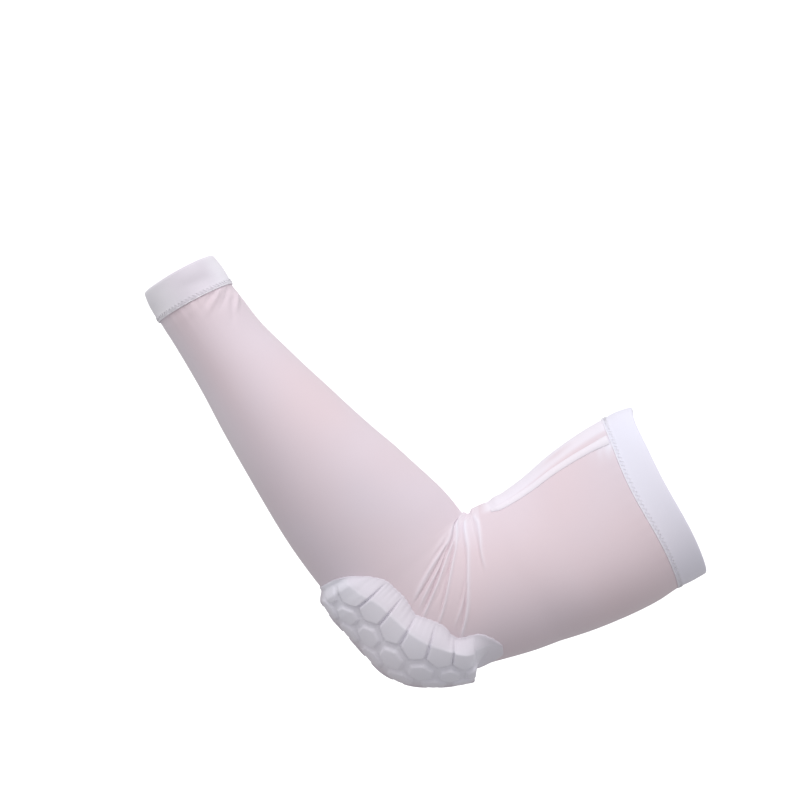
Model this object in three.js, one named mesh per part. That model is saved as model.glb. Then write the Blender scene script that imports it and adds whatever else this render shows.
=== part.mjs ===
// A padded arm sleeve in the form that it has on a bent arm: a hollow knit tube with a hem at
// each end, a raised seam on the inner side of the upper arm, and a honeycomb pad round the elbow.
// Lengths are millimetres. +Z is up, the wrist lies toward -X and the upper arm toward +X.
// The origin is the middle of the elbow, inside the hollow.
import * as THREE from 'three';

// Sizes that drive the part.
const FOREARM_LENGTH = 196.2;
const UPPER_LENGTH = 110;
const ELBOW_REACH = 86;
const HALF_DEPTH = 40;
const FOREARM_RISE = 124.2;
const UPPER_RISE = 24.8;
const CROOK_X = 14;
const CROOK_Z = 42.6;

const KNIT_WALL = 1.2;
const HEM_WALL = 1.2;
const HEM_WIDTH = 18.5;
const HEM_GAP = 0.6;
const WRIST_SWING = 0.8;
const FACE_SWING = 3.4;
const RIM_DIP = 3.2;
const LIP = 2;
const TUCK_RUN = 3;
const JOIN_GAP = 0.35;
const CREASE_HEIGHT = 1.5;

const CELL_PITCH = 14.6;
const ROW_PITCH = 13;
const CELL_HEIGHT = 3.2;
const CELL_GAP = 0.7;
const PAD_GAP = 0.75;
const BASE_THICK = 3.6;
const BASE_EDGE = 1.2;
const CELL_CLEAR = 0.8;
const PAD_START = -7;
const SWELL_RUN = 18;
const TAIL_AT_CREST = 0.25;

const TAPE_WIDTH = 4.5;
const TAPE_THICK = 0.9;
const TAPE_GAP = 0.4;
const TAPE_MARGIN = 4;

const ROUND_STEPS = 30;

// The forearm from the wrist rim to the fold. along is a share of FOREARM_LENGTH, inner and
// outer are shares of ELBOW_REACH, lean is a share of the section's own width, and depth is a
// share of HALF_DEPTH.
const FOREARM = [
  { along: 1.0, lean: 0.13, inner: 0.397, outer: 0.908, depth: 0.675 },
  { along: 0.95, lean: 0.145, inner: 0.399, outer: 0.92, depth: 0.68 },
  { along: 0.9, lean: 0.15, inner: 0.401, outer: 0.93, depth: 0.69 },
  { along: 0.856, lean: 0.12, inner: 0.397, outer: 0.93, depth: 0.7 },
  { along: 0.771, lean: 0.06, inner: 0.384, outer: 0.941, depth: 0.73 },
  { along: 0.685, lean: 0.02, inner: 0.345, outer: 0.958, depth: 0.78 },
  { along: 0.599, lean: 0, inner: 0.303, outer: 0.982, depth: 0.835 },
  { along: 0.514, lean: 0, inner: 0.257, outer: 1.0, depth: 0.885 },
  { along: 0.428, lean: 0, inner: 0.212, outer: 1.015, depth: 0.93 },
  { along: 0.3425, lean: 0, inner: 0.163, outer: 1.029, depth: 0.965 },
  { along: 0.271, lean: 0, inner: 0.116, outer: 1.039, depth: 0.985 },
  { along: 0.2, lean: 0, inner: 0.077, outer: 1.044, depth: 0.99 },
  { along: 0.137, lean: 0, inner: 0.042, outer: 1.042, depth: 0.985 },
  { along: 0.08, lean: 0, inner: 0.015, outer: 1.036, depth: 0.975 },
  { along: 0.035, lean: 0, inner: 0.004, outer: 1.027, depth: 0.965 },
];

// The bend, as sections that fan out from the fold. turn runs from 0 at the forearm to 1 at
// the upper arm, and spread is how far along the upper arm the section's inner end sits, as a
// share of UPPER_LENGTH.
const BEND = [
  { turn: 0, spread: 0, outer: 1.015, depth: 0.96 },
  { turn: 0.06, spread: 0.003, outer: 1.005, depth: 0.955 },
  { turn: 0.12, spread: 0.006, outer: 1.007, depth: 0.95 },
  { turn: 0.2, spread: 0.012, outer: 1.025, depth: 0.95 },
  { turn: 0.28, spread: 0.02, outer: 1.06, depth: 0.95 },
  { turn: 0.36, spread: 0.03, outer: 1.105, depth: 0.95 },
  { turn: 0.44, spread: 0.042, outer: 1.12, depth: 0.955 },
  { turn: 0.52, spread: 0.056, outer: 1.105, depth: 0.96 },
  { turn: 0.6, spread: 0.072, outer: 1.08, depth: 0.965 },
  { turn: 0.68, spread: 0.09, outer: 1.05, depth: 0.97 },
  { turn: 0.76, spread: 0.108, outer: 1.025, depth: 0.98 },
  { turn: 0.84, spread: 0.127, outer: 1.016, depth: 0.99 },
  { turn: 0.92, spread: 0.148, outer: 1.016, depth: 1.0 },
  { turn: 1, spread: 0.17, outer: 1.02, depth: 1.01 },
];

// The upper arm from the bend to the rim. along is a share of UPPER_LENGTH, and peak is how
// far the section narrows to a ridge on its inner side.
const UPPER = [
  { along: 0.25, inner: -0.015, outer: 1.033, depth: 1.02, peak: 0.12 },
  { along: 0.36, inner: -0.045, outer: 1.048, depth: 1.035, peak: 0.2 },
  { along: 0.5, inner: -0.098, outer: 1.057, depth: 1.05, peak: 0.24 },
  { along: 0.62, inner: -0.132, outer: 1.058, depth: 1.06, peak: 0.24 },
  { along: 0.73, inner: -0.155, outer: 1.05, depth: 1.06, peak: 0.2 },
  { along: 0.83, inner: -0.168, outer: 1.03, depth: 1.055, peak: 0.14 },
  { along: 0.92, inner: -0.176, outer: 1.027, depth: 1.05, peak: 0.08 },
  { along: 1.0, inner: -0.166, outer: 1.018, depth: 1.04, peak: 0.05 },
];

// The creases of the crook. turn is where each one lies in the fan, width is a share of the
// bend, and height is a share of CREASE_HEIGHT.
const CREASES = [
  { turn: 0.22, width: 0.035, height: 0.5 },
  { turn: 0.34, width: 0.03, height: 0.9 },
  { turn: 0.45, width: 0.03, height: 1.0 },
  { turn: 0.56, width: 0.03, height: 1.0 },
  { turn: 0.67, width: 0.03, height: 0.9 },
  { turn: 0.79, width: 0.035, height: 0.7 },
];

// Half the pad's breadth along its length. at is a share of the pad's length, half is a share
// of four rows of cells, and draw is how far the rows of cells are drawn together there.
const PAD_OUTLINE = [
  { at: 0, half: 0.5, draw: 0.8 },
  { at: 0.02, half: 0.68, draw: 0.81 },
  { at: 0.055, half: 0.81, draw: 0.84 },
  { at: 0.095, half: 0.92, draw: 0.87 },
  { at: 0.17, half: 0.99, draw: 0.92 },
  { at: 0.28, half: 1.01, draw: 0.98 },
  { at: 0.375, half: 1.03, draw: 1.0 },
  { at: 0.44, half: 1.02, draw: 1.02 },
  { at: 0.495, half: 1.01, draw: 1.03 },
  { at: 0.56, half: 1.035, draw: 1.02 },
  { at: 0.625, half: 1.03, draw: 0.99 },
  { at: 0.695, half: 0.97, draw: 0.94 },
  { at: 0.74, half: 0.875, draw: 0.9 },
  { at: 0.775, half: 0.825, draw: 0.86 },
  { at: 0.825, half: 0.82, draw: 0.815 },
  { at: 0.89, half: 0.805, draw: 0.78 },
  { at: 0.94, half: 0.73, draw: 0.75 },
  { at: 0.985, half: 0.62, draw: 0.7 },
  { at: 1, half: 0.55, draw: 0.7 },
];

// Where the columns of cells lie. place counts cells from the start, and share is how far along
// the cells' whole length that is: the cells are long at the forearm and short past the elbow.
const COLUMNS = [
  { place: 0, share: 0 },
  { place: 0.5, share: 0.094 },
  { place: 1, share: 0.191 },
  { place: 1.5, share: 0.291 },
  { place: 2, share: 0.389 },
  { place: 2.5, share: 0.484 },
  { place: 3, share: 0.568 },
  { place: 3.5, share: 0.65 },
  { place: 4, share: 0.726 },
  { place: 4.5, share: 0.804 },
  { place: 5, share: 0.874 },
  { place: 5.5, share: 0.938 },
  { place: 6, share: 1 },
];

const RADIANS = Math.PI / 180;
const BEND_ANGLE = FOREARM_RISE - UPPER_RISE;
const BEND_LENGTH = ELBOW_REACH * (180 - BEND_ANGLE) * RADIANS;
const SPREAD = BEND[BEND.length - 1].spread * UPPER_LENGTH;
const RUN_START = -FOREARM_LENGTH;
const RUN_END = BEND_LENGTH + UPPER_LENGTH - SPREAD;

const fore = new THREE.Vector2(Math.cos(FOREARM_RISE * RADIANS), Math.sin(FOREARM_RISE * RADIANS));
const upper = new THREE.Vector2(Math.cos(UPPER_RISE * RADIANS), Math.sin(UPPER_RISE * RADIANS));

// All the sections in one list. run is the length along the outside of the arm, which is 0
// where the bend starts, less than 0 on the forearm and more than 0 toward the upper arm.
const sections = [];
for (const row of FOREARM) {
  sections.push({ run: -row.along * FOREARM_LENGTH, spread: 0, peak: 0, ...row });
}
for (const row of BEND) {
  sections.push({
    run: row.turn * BEND_LENGTH,
    spread: row.spread,
    lean: 0,
    inner: 0,
    outer: row.outer,
    depth: row.depth,
    peak: 0.06 * row.turn,
  });
}
for (const row of UPPER) {
  const run = BEND_LENGTH + row.along * UPPER_LENGTH - SPREAD;
  sections.push({ run, lean: 0, spread: row.along, ...row });
}

// A smooth reading of one column of a table at a place between its rows.
function reading(table, key, column, at) {
  const last = table.length - 1;
  const place = Math.min(Math.max(at, table[0][key]), table[last][key]);
  let i = 0;
  while (i < last - 1 && place > table[i + 1][key]) i += 1;
  const slope = (k) => {
    const a = Math.max(k - 1, 0);
    const b = Math.min(k + 1, last);
    return (table[b][column] - table[a][column]) / (table[b][key] - table[a][key]);
  };
  const span = table[i + 1][key] - table[i][key];
  const u = (place - table[i][key]) / span;
  const v = 1 - u;
  return table[i][column] * (1 + 2 * u) * v * v
    + table[i + 1][column] * (3 - 2 * u) * u * u
    + slope(i) * span * u * v * v
    - slope(i + 1) * span * v * u * u;
}

function smooth(from, to, at) {
  const u = Math.min(Math.max((at - from) / (to - from), 0), 1);
  return u * u * (3 - 2 * u);
}

// The section at one run: its middle, its half width as a vector, its half depth and its peak.
const sectionStore = new Map();
function section(run) {
  const key = run.toFixed(4);
  if (sectionStore.has(key)) return sectionStore.get(key);
  const read = (column) => reading(sections, 'run', column, run);
  const turn = Math.min(Math.max(run / BEND_LENGTH, 0), 1);
  const angle = (FOREARM_RISE - 180 + (180 - BEND_ANGLE) * turn) * RADIANS;
  const out = new THREE.Vector2(Math.sin(angle), -Math.cos(angle));
  const back = new THREE.Vector2(out.y, -out.x);
  const beyond = Math.max(run - BEND_LENGTH, 0);
  const spread = turn < 1 ? reading(BEND, 'turn', 'spread', turn) * UPPER_LENGTH : SPREAD;
  const start = new THREE.Vector2(CROOK_X, CROOK_Z)
    .addScaledVector(fore, Math.max(-run, 0))
    .addScaledVector(upper, spread + beyond);
  const inner = read('inner') * ELBOW_REACH;
  const outer = read('outer') * ELBOW_REACH;
  const near = start.clone().addScaledVector(out, inner);
  const far = start.clone().addScaledVector(out, outer)
    .addScaledVector(back, read('lean') * (outer - inner));
  const found = {
    middle: near.clone().add(far).multiplyScalar(0.5),
    half: far.clone().sub(near).multiplyScalar(0.5),
    depth: read('depth') * HALF_DEPTH,
    peak: read('peak'),
  };
  sectionStore.set(key, found);
  return found;
}

// The rims aren't square to the arm. The wrist's swings down at the outside, and the upper
// one swings back over the middle of each face and stands out at the inner corner.
function swung(run, round) {
  const fromOutside = Math.abs(Math.atan2(Math.sin(round), Math.cos(round)));
  const bump = (centre, width) => Math.exp(-(((fromOutside - centre) / width) ** 2));
  const wrist = WRIST_SWING * Math.cos(round);
  const face = -FACE_SWING * bump(1.85, 0.6) + 0.4 * FACE_SWING * bump(Math.PI, 0.25);
  const dip = -RIM_DIP * bump(2.55, 0.4);
  return run
    + wrist * smooth(0.6, 0.9, -run / FOREARM_LENGTH)
    + face * smooth(0.18, 0.6, (run - BEND_LENGTH) / UPPER_LENGTH)
    + dip * smooth(RUN_END - HEM_WIDTH, RUN_END, run);
}

// A point of the tube without its creases. round is 0 at the outside of the arm, grows toward
// the front and is PI at the inside of the arm.
function bare(run, round) {
  const s = section(swung(run, round));
  const c = Math.cos(round);
  const y = -s.depth * Math.sin(round) * (1 + s.peak * c);
  return new THREE.Vector3(s.middle.x + s.half.x * c, y, s.middle.y + s.half.y * c);
}

function outward(run, round) {
  const a = Math.min(Math.max(run, RUN_START + 0.5), RUN_END - 0.5);
  const alongRun = bare(a + 0.5, round).sub(bare(a - 0.5, round));
  const aroundIt = bare(a, round + 0.01).sub(bare(a, round - 0.01));
  return alongRun.cross(aroundIt).normalize();
}

// How far the cloth stands out in the creases of the crook.
function crease(run, round) {
  const turn = run / BEND_LENGTH;
  const fromOutside = Math.abs(Math.atan2(Math.sin(round), Math.cos(round)));
  const fade = smooth(1.36, 1.8, fromOutside) * (1 - 0.75 * smooth(2.5, 3.0, fromOutside));
  let height = 0;
  for (const row of CREASES) {
    const u = (turn - row.turn) / row.width;
    height += row.height * Math.exp(-u * u);
  }
  return height * fade * CREASE_HEIGHT;
}

// A point of the cloth, raised from its outer face by the given height.
function cloth(run, round, raised) {
  const height = raised + crease(run, round);
  return bare(run, round).addScaledVector(outward(run, round), height);
}

// The angle round the section that lies a given way across from the crest of the elbow.
const arcStore = new Map();
function roundAt(run, across) {
  const key = run.toFixed(4);
  if (!arcStore.has(key)) {
    const lengths = [0];
    let last = bare(run, 0);
    for (let i = 1; i <= 60; i += 1) {
      const next = bare(run, i * 0.04);
      lengths.push(lengths[i - 1] + next.distanceTo(last));
      last = next;
    }
    arcStore.set(key, lengths);
  }
  const lengths = arcStore.get(key);
  const want = Math.min(Math.abs(across), lengths[60]);
  let i = 0;
  while (i < 59 && want > lengths[i + 1]) i += 1;
  const round = (i + (want - lengths[i]) / (lengths[i + 1] - lengths[i])) * 0.04;
  return across < 0 ? -round : round;
}

const group = new THREE.Group();

function addMesh(name, points, faces, look) {
  const geometry = new THREE.BufferGeometry();
  geometry.setAttribute('position', new THREE.Float32BufferAttribute(points.flat(), 3));
  geometry.setIndex(faces.flat());
  geometry.computeVertexNormals();
  const material = new THREE.MeshStandardMaterial({
    color: look.color,
    roughness: look.roughness,
    metalness: 0,
  });
  const mesh = new THREE.Mesh(geometry, material);
  mesh.name = name;
  group.add(mesh);
}

// A ring swept round the arm from a closed outline. Each point of the outline is a run and a
// height, and the outline goes round with the outer face first, toward the upper arm.
function ring(name, outline, look) {
  const points = [];
  const faces = [];
  const count = outline.length;
  for (const [run, raised] of outline) {
    for (let j = 0; j < ROUND_STEPS; j += 1) {
      points.push(cloth(run, (j / ROUND_STEPS) * 2 * Math.PI, raised).toArray());
    }
  }
  for (let i = 0; i < count; i += 1) {
    const a = i * ROUND_STEPS;
    const b = ((i + 1) % count) * ROUND_STEPS;
    for (let j = 0; j < ROUND_STEPS; j += 1) {
      const k = (j + 1) % ROUND_STEPS;
      faces.push([a + j, b + j, b + k], [a + j, b + k, a + k]);
    }
  }
  addMesh(name, points, faces, look);
}

// A closed slab over a grid. place gives the run and the angle of a grid point, and high gives
// the height of the slab's upper face there.
function slab(name, along, across, place, low, high, look) {
  const points = [];
  const faces = [];
  const rows = along.length - 1;
  const columns = across.length - 1;
  const layer = along.length * across.length;
  for (const top of [false, true]) {
    for (const u of along) {
      for (const v of across) {
        const [run, round] = place(u, v);
        points.push(cloth(run, round, top ? high(u, v) : low).toArray());
      }
    }
  }
  const at = (top, i, j) => top * layer + i * (columns + 1) + j;
  for (let i = 0; i < rows; i += 1) {
    for (let j = 0; j < columns; j += 1) {
      const corners = [[i, j], [i + 1, j], [i + 1, j + 1], [i, j + 1]];
      const first = across[j] < 0 ? 0 : 1;
      const [a, b, c, d] = [0, 1, 2, 3].map((n) => corners[(n + first) % 4]);
      faces.push([at(1, ...a), at(1, ...b), at(1, ...c)], [at(1, ...a), at(1, ...c), at(1, ...d)]);
      faces.push([at(0, ...a), at(0, ...c), at(0, ...b)], [at(0, ...a), at(0, ...d), at(0, ...c)]);
    }
  }
  const edge = [];
  for (let i = 0; i < rows; i += 1) edge.push([i, 0]);
  for (let j = 0; j < columns; j += 1) edge.push([rows, j]);
  for (let i = rows; i > 0; i -= 1) edge.push([i, columns]);
  for (let j = columns; j > 0; j -= 1) edge.push([0, j]);
  for (let n = 0; n < edge.length; n += 1) {
    const [i, j] = edge[n];
    const [p, q] = edge[(n + 1) % edge.length];
    faces.push([at(1, i, j), at(0, i, j), at(0, p, q)]);
    faces.push([at(1, i, j), at(0, p, q), at(1, p, q)]);
  }
  addMesh(name, points, faces, look);
}

function steps(from, to, count) {
  const places = [];
  for (let i = 0; i <= count; i += 1) places.push(from + ((to - from) * i) / count);
  return places;
}

const KNIT = { color: 0xdccdd4, roughness: 0.8 };
const HEM = { color: 0xe6e3ec, roughness: 0.85 };
const PAD = { color: 0xd9d6df, roughness: 0.85 };

// The tube is three lengths, joined at the ends of the bend. Each is a closed wall between an
// outer and an inner face. Under the hems the tube is tucked in by the hem's wall and a gap.
function tube(name, places) {
  const inside = places.map(([run, raised]) => [run, raised - KNIT_WALL]).reverse();
  ring(name, [...places, ...inside], KNIT);
}

const FREE = 0;
const TUCKED = -(HEM_WALL + HEM_GAP);
const WRIST_EDGE = RUN_START + HEM_WIDTH;
const UPPER_EDGE = RUN_END - HEM_WIDTH;
const JOIN_LOW = -0.12 * BEND_LENGTH;
const JOIN_HIGH = 1.04 * BEND_LENGTH;
const atHeight = (runs, raised) => runs.map((run) => [run, raised]);

tube('sleeve_forearm', [
  ...atHeight([RUN_START + LIP + HEM_GAP, RUN_START + HEM_WIDTH / 2], TUCKED),
  [WRIST_EDGE + HEM_GAP, TUCKED],
  ...atHeight(steps(WRIST_EDGE + TUCK_RUN, JOIN_LOW - JOIN_GAP, 12), FREE),
]);
tube('sleeve_elbow', atHeight(steps(JOIN_LOW, JOIN_HIGH, 29), FREE));
tube('sleeve_upper', [
  ...atHeight(steps(JOIN_HIGH + JOIN_GAP, UPPER_EDGE - TUCK_RUN, 5), FREE),
  [UPPER_EDGE - HEM_GAP, TUCKED],
  ...atHeight([RUN_END - HEM_WIDTH / 2, RUN_END - LIP - HEM_GAP], TUCKED),
]);

// A hem is a band outside the end of the tube, with a lip that closes over the tube's edge.
function hemOutline(rim, edge) {
  const toward = Math.sign(rim - edge);
  const deep = -(HEM_WALL + HEM_GAP + KNIT_WALL);
  const at = (share) => edge + (rim - edge) * share;
  const lip = rim - toward * LIP;
  const outline = [
    [edge, -0.45 * HEM_WALL],
    [edge + toward * 0.8, 0],
    [at(0.35), 0],
    [at(0.65), 0],
    [rim - toward * 0.9, 0],
    [rim, -0.6],
    [rim, deep + 0.6],
    [rim - toward * 0.6, deep],
    [lip, deep],
    [lip, -HEM_WALL],
    [at(0.5), -HEM_WALL],
    [edge, -HEM_WALL],
  ];
  return toward > 0 ? outline : outline.reverse();
}

ring('wrist_hem', hemOutline(RUN_START, WRIST_EDGE), HEM);
ring('upper_hem', hemOutline(RUN_END, UPPER_EDGE), HEM);

// The seam tape lies in front of the inner ridge of the upper arm.
const TAPE_FROM = JOIN_HIGH + JOIN_GAP;
const TAPE_TO = UPPER_EDGE - TAPE_MARGIN;
slab('seam_tape', steps(0, 1, 14), [-1, 0, 1], (u, v) => {
  const run = TAPE_FROM + (TAPE_TO - TAPE_FROM) * u;
  const centre = Math.PI - 0.46 - 0.14 * u;
  return [run, centre + (v * TAPE_WIDTH) / 2 / section(run).depth];
}, TAPE_GAP, () => TAPE_GAP + TAPE_THICK, HEM);

// The pad's backing: thin at its scalloped border and thick under the cells.
const COLUMN_COUNT = COLUMNS[COLUMNS.length - 1].place;
const CELLS_LENGTH = COLUMN_COUNT * CELL_PITCH;
const CELLS_END = PAD_START + CELLS_LENGTH;
const PAD_FROM = PAD_START - CELL_PITCH * 0.26;
const PAD_LENGTH = CELLS_END + CELL_PITCH - PAD_FROM;

function padRead(column, run) {
  return reading(PAD_OUTLINE, 'at', column, (run - PAD_FROM) / PAD_LENGTH);
}

// The pad is thin where it starts and swells to its full thickness.
function swell(run) {
  return smooth(PAD_START, PAD_START + SWELL_RUN, run);
}

const BORDER = 0.06;
const padAlong = [
  ...steps(PAD_FROM, PAD_START - 0.8, 4).slice(0, -1),
  ...steps(PAD_START - 0.8, CELLS_END + 0.8, 19),
  CELLS_END + CELL_PITCH * 0.28,
  CELLS_END + CELL_PITCH * 0.65,
  CELLS_END + CELL_PITCH,
];
const padAcross = [-1, -1 + BORDER / 2, ...steps(-1 + BORDER, 1 - BORDER, 12), 1 - BORDER / 2, 1];
slab('pad_base', padAlong, padAcross, (run, v) => {
  const beyond = Math.max(run - CELLS_END, 0);
  const tail = TAIL_AT_CREST + (1 - TAIL_AT_CREST) * smooth(0.1, 0.7, Math.abs(v));
  const at = run - beyond + beyond * tail;
  return [at, roundAt(at, v * padRead('half', run) * 4 * ROW_PITCH)];
}, PAD_GAP, (run, v) => {
  const side = smooth(1, 1 - BORDER, Math.abs(v));
  const end = smooth(CELLS_END + CELL_PITCH * 0.5, CELLS_END + 1, run);
  return PAD_GAP + BASE_EDGE + (BASE_THICK - BASE_EDGE) * side * swell(run) * end;
}, PAD);

// The run and the angle of a point among the cells, from lengths as if all cells were alike.
function padPlace(length, across) {
  const place = length / CELL_PITCH;
  const run = PAD_START + CELLS_LENGTH * reading(COLUMNS, 'place', 'share', place);
  return [run, roundAt(run, across * padRead('draw', run))];
}

// One cell: a prism on the pad's base with a chamfer round its top.
function cell(name, corners) {
  const points = [];
  const faces = [];
  const middle = [0, 0];
  for (const [run, across] of corners) {
    middle[0] += run / corners.length;
    middle[1] += across / corners.length;
  }
  const levels = [
    [0, 1],
    [0.5 * CELL_HEIGHT, 0.99],
    [CELL_HEIGHT, 0.8],
  ];
  const count = corners.length;
  const put = (run, across, raised) => {
    const [r, round] = padPlace(run, across);
    const floor = PAD_GAP + BASE_EDGE + (BASE_THICK - BASE_EDGE) * swell(r) + CELL_CLEAR;
    points.push(cloth(r, round, floor + raised).toArray());
  };
  for (const [raised, share] of levels) {
    for (const [run, across] of corners) {
      const r = middle[0] + (run - middle[0]) * share;
      put(r, middle[1] + (across - middle[1]) * share, raised);
    }
  }
  put(middle[0], middle[1], levels[0][0]);
  put(middle[0], middle[1], levels[2][0]);
  const bottom = points.length - 2;
  const top = points.length - 1;
  for (let i = 0; i < count; i += 1) {
    const k = (i + 1) % count;
    faces.push([bottom, k, i]);
    faces.push([top, 2 * count + i, 2 * count + k]);
    for (let level = 0; level < 2; level += 1) {
      const a = level * count;
      const b = a + count;
      faces.push([a + i, a + k, b + k], [a + i, b + k, b + i]);
    }
  }
  addMesh(name, points, faces, PAD);
}

const HEX_HALF = (CELL_PITCH - CELL_GAP) / 2;
const HEX_TIP = (ROW_PITCH * 2) / 3 - CELL_GAP * 0.6;
const HEX_SHOULDER = ROW_PITCH / 3 - CELL_GAP * 0.3;
const hex = [
  [HEX_HALF, -HEX_SHOULDER],
  [HEX_HALF, HEX_SHOULDER],
  [0, HEX_TIP],
  [-HEX_HALF, HEX_SHOULDER],
  [-HEX_HALF, -HEX_SHOULDER],
  [0, -HEX_TIP],
];
const halfTip = HEX_TIP - (CELL_GAP * HEX_TIP) / CELL_PITCH;
const [lowFront, highFront, , highBack, lowBack] = hex;
const longSide = (run, tip) => [[run, tip], [run, 0], [run, -tip]];
const frontHalf = [lowFront, highFront, ...longSide(CELL_GAP / 2, halfTip)];
const backHalf = [highBack, lowBack, ...longSide(-CELL_GAP / 2, -halfTip)];

let made = 0;
for (let row = -3; row <= 3; row += 1) {
  const shifted = row % 2 === 0;
  const count = shifted ? 7 : 6;
  for (let n = 0; n < count; n += 1) {
    const centre = CELL_PITCH * (shifted ? n : n + 0.5);
    let shape = hex;
    if (shifted && n === 0) shape = frontHalf;
    if (shifted && n === count - 1) shape = backHalf;
    made += 1;
    const name = `hex_cell_${String(made).padStart(2, '0')}`;
    cell(name, shape.map(([run, across]) => [centre + run, row * ROW_PITCH + across]));
  }
}

export default group;
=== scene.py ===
import math

import bpy
import numpy as np
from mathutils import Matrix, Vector


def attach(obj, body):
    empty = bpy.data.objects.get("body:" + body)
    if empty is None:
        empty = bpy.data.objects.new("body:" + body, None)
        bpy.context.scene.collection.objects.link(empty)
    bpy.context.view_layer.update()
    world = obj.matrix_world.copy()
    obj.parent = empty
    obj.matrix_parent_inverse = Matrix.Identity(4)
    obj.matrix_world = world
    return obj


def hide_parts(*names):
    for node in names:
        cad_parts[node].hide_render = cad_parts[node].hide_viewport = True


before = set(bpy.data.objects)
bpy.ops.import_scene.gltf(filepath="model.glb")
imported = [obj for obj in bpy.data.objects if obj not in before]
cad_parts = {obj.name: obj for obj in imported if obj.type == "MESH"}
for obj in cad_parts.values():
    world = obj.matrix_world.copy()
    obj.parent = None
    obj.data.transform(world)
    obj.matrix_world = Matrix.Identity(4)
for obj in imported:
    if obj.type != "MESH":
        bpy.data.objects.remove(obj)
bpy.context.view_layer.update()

# ---------------------------------------------------------------- sizes, millimetres and degrees
FOREARM_LENGTH = 196.2
UPPER_LENGTH = 110.0
ELBOW_REACH = 86.0
HALF_DEPTH = 40.0
FOREARM_RISE = 124.2
UPPER_RISE = 24.8
CROOK = (14.0, 42.6)
KNIT_WALL = 1.2
HEM_WALL = 1.2
HEM_WIDTH = 18.5
HEM_GAP = 0.6
LIP = 2.0
CELL_PITCH = 14.6
ROW_PITCH = 13.0
PAD_START = -7.0
TAPE_WIDTH = 5.2

# The rims lean. Each is shifted along the run by these lengths.
WRIST_SWING = 1.1       # the wrist rim, down at the outside and up at the inside
WRIST_RIM_SHIFT = -0.6  # the whole wrist rim
WRIST_HEM_SHIFT = 0.4   # the wrist hem's other edge
FACE_SWING = 3.4        # the upper rim on its front and back
TIP_SHARE = 0.36        # share of FACE_SWING by which its inner tip stands out
RIM_DIP = 1.6           # the hollow between the two

# The pad: its height over the knit under the cells, at its border and on its hidden underside.
PAD_TOP = 8.2
PAD_THIN = 1.0
PAD_EDGE = 0.12
UNDERSIDE = 0.05
SIDE_ROWS = 3           # rows of cells to each side of the middle one
LONG_ROW = 6            # last place of the rows that start at place 0
SHORT_ROW = 5           # last place of the rows between them
PITCH_BEFORE = 16.5     # length of one place before the first cell
PITCH_BEYOND = 10.9     # and beyond the last one
ROW_TUCK = 1.3          # how much nearer the middle the second rows lie

# How finely the surfaces are divided.
TUBE_STEPS = 168
HEM_STEPS = 240
ROLL_STEPS = 260
TAPE_STEPS = (90, 15)
PAD_STEPS = (200, 176)
ARC_STEPS = 161

WEAVE_RADIUS = 40.0     # turns an angle into a length of weave

# along, lean, inner, outer, depth
FOREARM = [
    (1.0, 0.13, 0.397, 0.908, 0.675), (0.95, 0.145, 0.399, 0.92, 0.68),
    (0.9, 0.15, 0.401, 0.93, 0.69), (0.856, 0.12, 0.397, 0.93, 0.7),
    (0.771, 0.06, 0.384, 0.941, 0.73), (0.685, 0.02, 0.345, 0.958, 0.78),
    (0.599, 0, 0.303, 0.982, 0.835), (0.514, 0, 0.257, 1.0, 0.885),
    (0.428, 0, 0.212, 1.015, 0.93), (0.3425, 0, 0.163, 1.029, 0.965),
    (0.271, 0, 0.116, 1.039, 0.985), (0.2, 0, 0.077, 1.044, 0.99),
    (0.137, 0, 0.042, 1.042, 0.985), (0.08, 0, 0.015, 1.036, 0.975),
    (0.035, 0, 0.004, 1.027, 0.965),
]
# turn, spread, outer, depth
BEND = [
    (0, 0, 1.015, 0.96), (0.06, 0.003, 1.005, 0.955), (0.12, 0.006, 1.007, 0.95),
    (0.2, 0.012, 1.025, 0.95), (0.28, 0.02, 1.06, 0.95), (0.36, 0.03, 1.105, 0.95),
    (0.44, 0.042, 1.12, 0.955), (0.52, 0.056, 1.105, 0.96), (0.6, 0.072, 1.08, 0.965),
    (0.68, 0.09, 1.05, 0.97), (0.76, 0.108, 1.025, 0.98), (0.84, 0.127, 1.016, 0.99),
    (0.92, 0.148, 1.016, 1.0), (1, 0.17, 1.02, 1.01),
]
# along, inner, outer, depth, peak
UPPER = [
    (0.25, -0.015, 1.033, 1.02, 0.12), (0.36, -0.045, 1.048, 1.035, 0.2),
    (0.5, -0.098, 1.057, 1.05, 0.24), (0.62, -0.132, 1.058, 1.06, 0.24),
    (0.73, -0.155, 1.05, 1.06, 0.2), (0.83, -0.168, 1.03, 1.055, 0.14),
    (0.92, -0.176, 1.027, 1.05, 0.08), (1.0, -0.166, 1.018, 1.04, 0.05),
]
# The pad's outline: a share of its length, a share of its half width there, and how much the
# rows are drawn together.
PAD_OUTLINE = np.array([
    (0, 0.5, 0.8), (0.02, 0.68, 0.81), (0.055, 0.81, 0.84), (0.095, 0.92, 0.87),
    (0.17, 0.99, 0.92), (0.28, 1.01, 0.98), (0.375, 1.03, 1), (0.44, 1.02, 1.02),
    (0.495, 1.01, 1.03), (0.56, 1.035, 1.02), (0.625, 1.03, 0.99), (0.695, 0.97, 0.94),
    (0.74, 0.875, 0.9), (0.775, 0.825, 0.86), (0.825, 0.82, 0.815), (0.89, 0.805, 0.78),
    (0.94, 0.73, 0.75), (0.985, 0.62, 0.7), (1, 0.55, 0.7),
])
# The cells along a row: a place, counted in cells, and its share of the cells' whole length.
COLUMNS = np.array([
    (0, 0), (0.5, 0.094), (1, 0.191), (1.5, 0.291), (2, 0.389), (2.5, 0.484), (3, 0.568),
    (3.5, 0.65), (4, 0.726), (4.5, 0.804), (5, 0.874), (5.5, 0.938), (6, 1),
])
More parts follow.
